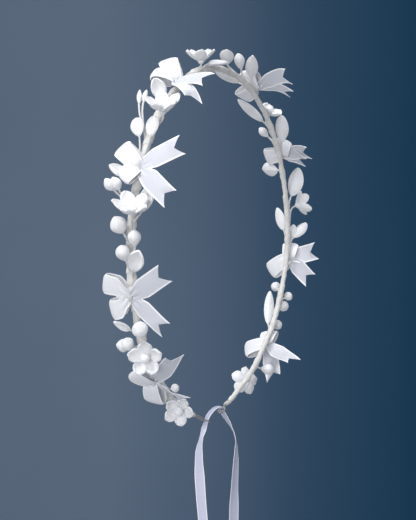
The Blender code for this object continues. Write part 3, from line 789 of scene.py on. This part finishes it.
def beadOf(name, middle, radius, material):
    made = copyOf(budMould, name, material)
    for vertex in made.data.vertices:
        way = Vector((vertex.co.x, vertex.co.y, vertex.co.z / budLook["stretch"])) * 2
        dent = flowerHead["beadDent"] * noise.noise(way * 1.5 + middle * 900)
        vertex.co = middle + way * radius * (1 + dent)
    smoothShade(made)
    return made


def sideOf(clock):
    return "left_" if clock < 0 else "right_"


for index, (key, (foot, head, facing, width, depth)) in enumerate(blossoms.items()):
    headAt = place(*head)
    outward, up = headings(head[0])
    axis = (outward * facing[0] + toPlusY * facing[1] + up * facing[2]).normalized()
    side = squareTo(axis, toPlusY)
    parts = []
    start = dice.uniform(0, 1)
    count, spread, lift = flowerHead["petals"], flowerHead["turnSpread"], axis * flowerHead["petalLift"]
    for k in range(count):
        turnBy = tau * k / count + start + dice.uniform(-spread, spread)
        spoke = side * cos(turnBy) + axis.cross(side) * sin(turnBy)
        size = width / 2 * dice.uniform(0.96, 1.03)
        cupped = depth * dice.uniform(0.95, 1.05)
        parts.append(petal("petal", headAt + lift, axis, spoke, size, cupped, index * count + k))
    below, above = axis * flowerHead["calyxBelow"], axis * flowerHead["calyxAbove"]
    parts.append(bud("calyx", headAt - below, headAt + above, flowerHead["calyxWidth"], 1.25, index))
    parts.append(stem("stem", foot, headAt - axis * 0.0015, axis))
    flower = joined("blossom" + key, parts)
    node = "blossom_" + sideOf(foot) + key[-1]
    settle(flower, bodyOf(foot), "clay", node + "_petals")
    radius = flowerHead["beadRadius"]
    middle = headAt + axis * (radius + flowerHead["petalLift"] + depth * 0.1)
    bead = beadOf("bead" + key, middle, radius, finish["bead"])
    settle(bead, bodyOf(foot), "bead", node + "_bead")
print("blossoms set")

# foot clock, base, tip, thickness, where the belly sits
buds = {
    "Left1": (-137, ((-135.8, 0.0035, -0.009), (-134.2, 0.004, -0.013), 0.0042, 1)),
    "PairLeft2": (-120, ((-118, 0.006, 0.003), (-116.3, 0.0095, 0.0085), 0.0064, 1),
                  ((-118.3, 0.006, 0.002), (-114.9, 0.0095, 0.0045), 0.0066, 1)),
    "Left3": (-114.5, ((-113.5, 0.006, -0.0065), (-109.3, 0.011, -0.0055), 0.0078, 1)),
    "Left4": (-94.5, ((-92.6, 0.005, -0.0005), (-88, 0.0105, -0.0005), 0.0068, 1.4)),
    "Left5": (-90, ((-88.6, 0.004, -0.0045), (-83.6, 0.007, -0.0055), 0.0064, 1.4)),
    "Left6": (-86.5, ((-84.6, 0.0055, 0.001), (-80.4, 0.011, 0.0035), 0.0082, 1)),
    "PairLeft7": (-75, ((-72.6, 0.006, 0.008), (-70, 0.0105, 0.0115), 0.0052, 1),
                  ((-72.4, 0.005, 0.006), (-69.2, 0.009, 0.0085), 0.0056, 1)),
    "SprigLeft8": (-53, ((-42.5, 0.006, 0.0075), (-37, 0.0065, 0.0095), 0.0028, 0.9),
                   ((-44, 0.007, 0.0085), (-38.5, 0.0085, 0.0115), 0.0026, 0.9)),
    "Right1": (17.5, ((16.5, 0.004, -0.001), (11.5, 0.011, -0.002), 0.0055, 1.4)),
    "Right2": (55, ((53.5, 0.002, 0.0045), (50, 0.0035, 0.0095), 0.0048, 1.3)),
    "Right3": (112, ((111.3, 0.003, 0.0045), (109.2, 0.0065, 0.008), 0.0056, 1)),
    "Right4": (115.3, ((114.3, 0.0046, -0.0012), (112.3, 0.0085, -0.003), 0.0052, 1)),
    "Right5": (120.5, ((119.5, 0.003, 0), (115.6, 0.0085, -0.001), 0.006, 1.3)),
    "Right6": (127, ((125.7, 0.0046, 0.0002), (123.2, 0.0085, 0.001), 0.0058, 1)),
    "Right7": (146, ((145, 0.0055, -0.0005), (142.3, 0.0108, -0.006), 0.0062, 1.2))}

for index, (key, (foot, *heads)) in enumerate(buds.items()):
    parts = []
    for k, (base, tip, across, belly) in enumerate(heads):
        baseAt, tipAt = place(*base), place(*tip)
        axis = (tipAt - baseAt).normalized()
        parts.append(bud("ball", baseAt, tipAt, across, belly, index * 2 + k))
        parts.append(stem("stem", foot, baseAt + axis * 0.0006, axis))
    made = joined("bud" + key, parts)
    node = ("bud_pair_" if "Pair" in key else "bud_") + sideOf(foot) + key[-1]
    # the sprig stands for no CAD piece
    settle(made, bodyOf(foot), "clay", *([] if "Sprig" in key else [node]))
print("buds set")

# foot clock, base, tip, width, where it is widest, hollow, turn
leaves = {
    "Left1": (-114.5, ((-113.5, 0.0035, 0.003), (-110.4, 0.006, 0.0095), 0.0042, 0.75, 0.0006, 0)),
    "Left2": (-97, ((-95.5, 0.0035, -0.003), (-89.3, 0.0065, -0.008), 0.0076, 1.1, 0.0016, 15)),
    "Left3": (-80, ((-78, 0.0022, -0.0062), (-70.5, 0.004, -0.01), 0.0066, 1, 0.001, 10)),
    "Left4": (-67.5, ((-66.8, 0.0025, 0.006), (-64.8, 0.0055, 0.014), 0.005, 0.75, 0.0006, 0)),
    "PairLeft5": (-60.5, ((-55, 0.0048, 0.0025), (-49.2, 0.0065, 0.007), 0.0064, 1.2, 0.0012, 0),
                  ((-55, 0.0042, -0.0032), (-48.6, 0.007, -0.003), 0.0064, 1.1, 0.0012, 0)),
    "Left7": (-41.5, ((-40, 0.004, -0.001), (-37, 0.013, 0.003), 0.0068, 1, 0.0014, 0)),
    "Left8": (-13.5, ((-9.5, 0.003, -0.003), (-0.8, 0.003, -0.0065), 0.007, 1, 0.0012, 10)),
    "Right1": (9.5, ((8, 0.004, 0.001), (2.5, 0.01, -0.003), 0.0068, 1.1, 0.0014, 0)),
    "Right2": (23.5, ((22, 0.001, 0.005), (12, 0.002, 0.011), 0.0044, 0.95, 0.0006, 40)),
    "Right3": (24, ((22, 0.004, -0.0025), (12.5, 0.01, -0.01), 0.0064, 0.85, 0.001, 0)),
    "Right4": (47, ((45.5, 0.001, 0.0042), (34.5, 0.002, 0.0135), 0.005, 0.95, 0.0006, 30)),
    "Right5": (57, ((55.5, 0.003, -0.002), (46, 0.0065, -0.006), 0.0082, 1, 0.0014, -10)),
    "Right6": (67.5, ((67.3, 0.003, 0.004), (67.8, 0.006, 0.015), 0.0084, 1.15, 0.001, 0)),
    "Right7": (78.5, ((77, 0.003, -0.0025), (67.8, 0.008, -0.007), 0.01, 0.95, 0.002, -15)),
    "Right8": (91, ((89.5, 0.002, 0.0035), (82, 0.0055, 0.0085), 0.0052, 0.9, 0.0008, 10)),
    "PairRight9": (93.3, ((92.2, 0.0035, -0.001), (87.8, 0.005, -0.002), 0.0044, 1, 0.0008, 0),
                   ((92.2, 0.0035, -0.0025), (87.4, 0.0085, -0.0085), 0.0054, 1.1, 0.001, 0)),
    "Right10": (127.5, ((126, 0.0018, 0.004), (112.5, 0.003, 0.0085), 0.0052, 1, 0.0008, 20))}

for index, (key, (foot, *blades)) in enumerate(leaves.items()):
    parts = []
    for k, (base, tip, width, point, cup, turnBy) in enumerate(blades):
        baseAt, tipAt = place(*base), place(*tip)
        axis = (tipAt - baseAt).normalized()
        outward = headings(base[0])[0]
        parts.append(leaf("blade", baseAt, tipAt, width, point, cup, turnBy, outward, index * 2 + k))
        parts.append(stem("stem", foot, baseAt + axis * 0.0015, axis, 0.9))
    made = joined("leaf" + key, parts)
    number = "".join(c for c in key if c.isdigit())
    node = ("leaf_pair_" if "Pair" in key else "leaf_") + sideOf(foot) + number
    # leaf Left8 stands for no CAD piece
    settle(made, bodyOf(foot), "clay", *([] if key == "Left8" else [node]))
print("leaves set")


# ribbon bows: two loops and two swallow tails of one strip, bound in the middle with thread
# each has its clock angle and roll, then loops (heading, length, height, lift, sideways shift)
# and tails (heading, length, lift, curl)
bows = {
    "Left1": (-133, 0, ((52, 0.012, 0.005, 0.2, 0), (-78, 0.014, 0.0055, 0.15, 0)),
              ((134, 0.03, 0.03, 42), (215, 0.02, 0.1, 60))),
    "Left2": (-103, -10, ((14, 0.0145, 0.005, 0.12, 0.0042), (-8, 0.0118, 0.005, 0.12, -0.0043)),
              ((148, 0.025, 0.1, 10), (218, 0.0235, 0.1, 10))),
    "Left3": (-65, -15, ((42, 0.014, 0.0055, 0.2, 0.0006), (-50, 0.0098, 0.0045, 0.3, 0)),
              ((154, 0.025, 0.1, 10), (217, 0.028, 0.1, 15))),
    "Left4": (-29, 5, ((54, 0.014, 0.006, 0.5, 0), (-6, 0.0125, 0.006, 0.35, 0)),
              ((197, 0.0235, 0.15, 10), (228, 0.0345, 0.1, -45))),
    "Right1": (30, 5, ((84, 0.012, 0.005, 0.45, 0), (-32, 0.0145, 0.005, 0, 0)),
               ((168, 0.0215, 0.26, -25), (212, 0.0205, 0.24, 8))),
    "Right2": (61.5, 10, ((112, 0.0095, 0.0045, 0.25, 0), (-8, 0.0105, 0.0045, 0.05, 0)),
               ((178, 0.0175, 0.15, 20), (206, 0.015, 0.3, 30))),
    "Right3": (99.5, 5, ((94, 0.009, 0.0045, 0.2, 0), (-38, 0.015, 0.005, 0.1, 0)),
               ((164, 0.0182, 0.1, 10), (222, 0.019, 0.15, 15))),
    "Right4": (134, 20, ((80, 0.01, 0.0045, 0.2, 0), (-22, 0.014, 0.005, 0.18, 0)),
               ((208, 0.0225, 0.1, -38), (248, 0.02, 0.45, 25)))}
band = {"width": 0.01, "thickness": 0.0002, "columns": 11, "knot": 0.0034, "gather": 0.00055,
        "crown": 0.00035, "loopSteps": 36, "loopSquareness": 0.8, "loopPinch": 0.42, "loopSway": 0.0005,
        "cornerRound": 0.0009, "tailSteps": 24, "tailPinch": 0.3, "notchFrom": 0.7, "notchDepth": 0.45,
        "tailWave": 0.0008, "threadTurns": 5, "threadSteps": 90, "threadWidth": 0.0022,
        "threadRadius": 0.00175, "thread": 0.00022, "padRadius": 0.0016}


def bowRow(middle, across, face, half, gather, seed):
    # across the band: gathered near the knot, smooth further out
    row = []
    for k in range(band["columns"]):
        t = 2 * k / (band["columns"] - 1) - 1
        fold = gather * band["gather"] * sin(t * 7.5 + seed)
        crown = -band["crown"] * t * t * (1 - gather)
        row.append(middle + across * (half * t) + face * (fold + crown))
    return row


def bowLoop(knot, outward, up, seed, heading, length, height, lift, shift):
    a = radians(heading)
    direction = toPlusY * cos(a) + up * sin(a)
    along = (direction + outward * lift).normalized()
    rise = squareTo(along, outward)
    across = direction.cross(outward).normalized()
    rows, run, steps = [], [0.0], band["loopSteps"]
    for k in range(steps + 1):
        turnBy = tau * k / steps
        # a band bent double: flat above and below, round only at its far end
        x = length / 2 * (1 - cos(turnBy))
        y = height / 2 * copysign(abs(sin(turnBy)) ** band["loopSquareness"], sin(turnBy))
        swell = band["loopPinch"] + (1 - band["loopPinch"]) * sin(turnBy / 2) ** 0.45
        crumple = max(0.0, 1 - x / (length * 0.5))
        middle = knot + along * x + rise * y
        face = rise * cos(turnBy / 2) + along * sin(turnBy / 2)
        out = min(1.0, x / (length * 0.55))
        sway = across * (band["loopSway"] * sin(turnBy + seed[0]) + shift * out * out * (3 - 2 * out))
        row = bowRow(middle + sway, across, face, band["width"] / 2 * swell, crumple, seed[1])
        # soft corners at the fold
        for c in range(band["columns"]):
            t = 2 * c / (band["columns"] - 1) - 1
            row[c] -= along * (band["cornerRound"] * abs(t) ** 6 * (x / length) ** 2)
        rows.append(row)
        if k:
            run.append(run[-1] + (middle - previous).length)
        previous = middle
    # the loops take the lighter copy of the bow satin: painted light
    return strip("loop", rows, finish["loop"], band["thickness"], run), run[-1]


def bowTail(knot, outward, up, seed, heading, length, lift, curl):
    a = radians(heading)
    direction = toPlusY * cos(a) + up * sin(a)
    across = direction.cross(outward).normalized()
    rows, run, steps = [], [], band["tailSteps"]
    for k in range(steps + 1):
        share = k / steps
        arch = length * lift * sin(0.7 * pi * share)
        middle = knot + direction * (length * share) + outward * arch
        bend = radians(curl * share)
        wide = (across * cos(bend) - outward * sin(bend)).normalized()
        face = wide.cross(direction).normalized()
        swell = band["tailPinch"] + (1 - band["tailPinch"]) * min(1, 2.6 * share) ** 0.8
        row = bowRow(middle, wide, face, band["width"] / 2 * swell, max(0.0, 1 - share * 3), seed[1])
        # the end is cut to a swallow tail
        late = max(0.0, (share - band["notchFrom"]) / (1 - band["notchFrom"]))
        wave = face * (band["tailWave"] * sin(share * 5 + seed[0]) * share)
        for c in range(band["columns"]):
            t = 2 * c / (band["columns"] - 1) - 1
            row[c] += wave - direction * (late * band["notchDepth"] * band["width"] * (1 - abs(t)) ** 0.85)
        rows.append(row)
        run.append(length * share)
    # the tails take the darker copy of the bow satin: painted shade
    return strip("tail", rows, finish["bow"], band["thickness"], run)


def bowBinding(knot, outward, up):
    # thread wound round the gathered middle, over a small pad of folded satin
    coil, steps = [], band["threadSteps"]
    for k in range(steps):
        a = tau * k * band["threadTurns"] / steps
        s = (k / (steps - 1) - 0.5) * band["threadWidth"]
        coil.append(knot + up * s + (outward * cos(a) + toPlusY * sin(a)) * band["threadRadius"])
    thread = tube("thread", coil, lambda s, a: band["thread"], 6, finish["stem"], up)
    # the knot pad also takes the lighter copy of the bow satin: painted light
    return [thread, beadOf("middle", knot, band["padRadius"], finish["loop"])]


for index, (key, (clock, roll, loops, tails)) in enumerate(bows.items()):
    outward, up = headings(clock)
    lean = radians(roll)
    knot = wireAt(clock) + (outward * cos(lean) + toPlusY * sin(lean)) * \
        (hoop["tape"] / 2 + 0.0003 + band["knot"] / 2)
    parts, stripLength = [], 0.0
    for n, loop in enumerate(loops):
        made, length = bowLoop(knot, outward, up, (index + n, index + n * 2), *loop)
        parts.append(made)
        stripLength += length
    for n, tail in enumerate(tails):
        parts.append(bowTail(knot, outward, up, (n * 2 + index, index + n * 3 + 1), *tail))
        stripLength += tail[1]
    parts += bowBinding(knot, outward, up)
    made = joined("bow" + key, parts)
    smoothShade(made, 50)
    settle(made, bodyOf(clock), "bow_ribbon", "bow_" + sideOf(clock) + key[-1])
print("bows tied")

for mould in (budMould, leafMould, petalMould):
    bpy.data.objects.remove(mould)


# floor, backdrop and light
stage = {"floor": -1.3, "floorRadius": 30, "far": 2.6, "bend": 0.25, "wide": 6.0, "top": 2.4, "rim": 96,
         "bendSteps": 12, "cardScale": 0.55}


def backdrop():
    # a round pale floor, and a card that sweeps up from it behind the object
    back = Vector((-towardsViewer.x, -towardsViewer.y, 0)).normalized()
    right = back.cross(Vector((0, 0, 1)))
    profile = []
    for k in range(stage["bendSteps"] + 1):
        a = pi / 2 * k / stage["bendSteps"]
        profile.append((stage["far"] - stage["bend"] + stage["bend"] * sin(a),
                        stage["floor"] + stage["bend"] * (1 - cos(a))))
    profile.append((stage["far"], stage["top"]))
    points = [back * d + right * (stage["wide"] / 2 * way) + Vector((0, 0, z))
              for way in (-1, 1) for d, z in profile]
    n = len(profile)
    made = newMesh("backdrop", points, [(k, k + n, k + n + 1, k + 1) for k in range(n - 1)], backdropPaper())
    smoothShade(made)
    points = []
    for k in range(stage["rim"]):
        a = tau * k / stage["rim"]
        points.append(Vector((stage["floorRadius"] * cos(a), stage["floorRadius"] * sin(a),
                              stage["floor"] - 0.001)))
    newMesh("floor", points, [tuple(range(stage["rim"]))], made.data.materials[0])


def backdropPaper():
    # pale floor; above it blue-grey card with painted light falloff, lighter on the left and darker on the
    # right
    made, shader = shaderOf("backdrop card", (0.1, 0.15, 0.22), 0.95)
    n = Nodes(made, shader)
    shader.inputs["Specular IOR Level"].default_value = 0.0
    split = n.add("ShaderNodeSeparateXYZ")
    n.link(n.coords.outputs["Object"], split.inputs["Vector"])
    x, y, z = split.outputs
    fromX = n.math("MULTIPLY", x, -towardsViewer.y)
    fromY = n.math("MULTIPLY", y, -towardsViewer.x)
    across = n.math("SUBTRACT", fromX, fromY)
    sideways = n.math("ADD", n.math("MULTIPLY", across, 0.5 / stage["cardScale"]), 0.5)
    # painted light falloff: the card's blue-grey runs from lighter on the left to darker on the right
    card = n.ramp(sideways, (0.0, (0.192, 0.258, 0.348)), (0.28, (0.198, 0.264, 0.354)),
                  (0.5, (0.136, 0.2, 0.292)), (0.68, (0.06, 0.125, 0.21)), (0.85, (0.033, 0.094, 0.17)),
                  (1.0, (0.013, 0.073, 0.142)))
    height = n.math("SUBTRACT", z, stage["floor"])
    floorShare = n.ramp(height, (0.03, grey(1)), (0.22, grey(0)))
    mottled = n.ramp(n.noise(3.0, 2), (0.3, grey(0.96)), (0.7, grey(1.0)))
    colour = n.mix(floorShare, card, (0.62, 0.63, 0.65))  # pale floor
    n.feed(n.mix(1.0, colour, mottled, "MULTIPLY"), "Base Color")
    return made


backdrop()
world = bpy.data.worlds.new("blueGreySurround")
bpy.context.scene.world = world
world.use_nodes = True
tree = world.node_tree
background = tree.nodes["Background"]
background.inputs["Strength"].default_value = 0.44
background.inputs["Color"].default_value = (0.6, 0.64, 0.72, 1)


def softLight(name, azimuth, elevation, distance, size, power, colour):
    a, e = radians(azimuth), radians(elevation)
    data = bpy.data.lights.new(name, "AREA")
    data.shape = "DISK"
    data.size = size
    data.energy = power
    data.color = colour
    made = newObject(name, data)
    way = Vector((sin(a) * cos(e), -cos(a) * cos(e), sin(e)))
    made.location = centre + way * distance
    made.rotation_mode = "QUATERNION"
    made.rotation_quaternion = (-way).to_track_quat("-Z", "Y")


# azimuth, elevation, distance, size, power, colour
lights = {"keyLight": (-116, 50, 2.2, 0.75, 25, (1.0, 0.99, 0.98)),
          "fillLight": (-82, 5, 1.9, 1.1, 17, (0.98, 0.99, 1.0)),
          "sideLight": (-15, 30, 2.1, 1.0, 6, (0.98, 0.99, 1.0)),
          "backLight": (115, 35, 2.1, 1.1, 9, (0.98, 0.99, 1.0)),
          "topLight": (-63, 80, 1.2, 0.6, 5, (0.95, 0.97, 1.0))}
for name, setting in lights.items():
    softLight(name, *setting)
print("stage lit")

bpy.context.view_layer.update()
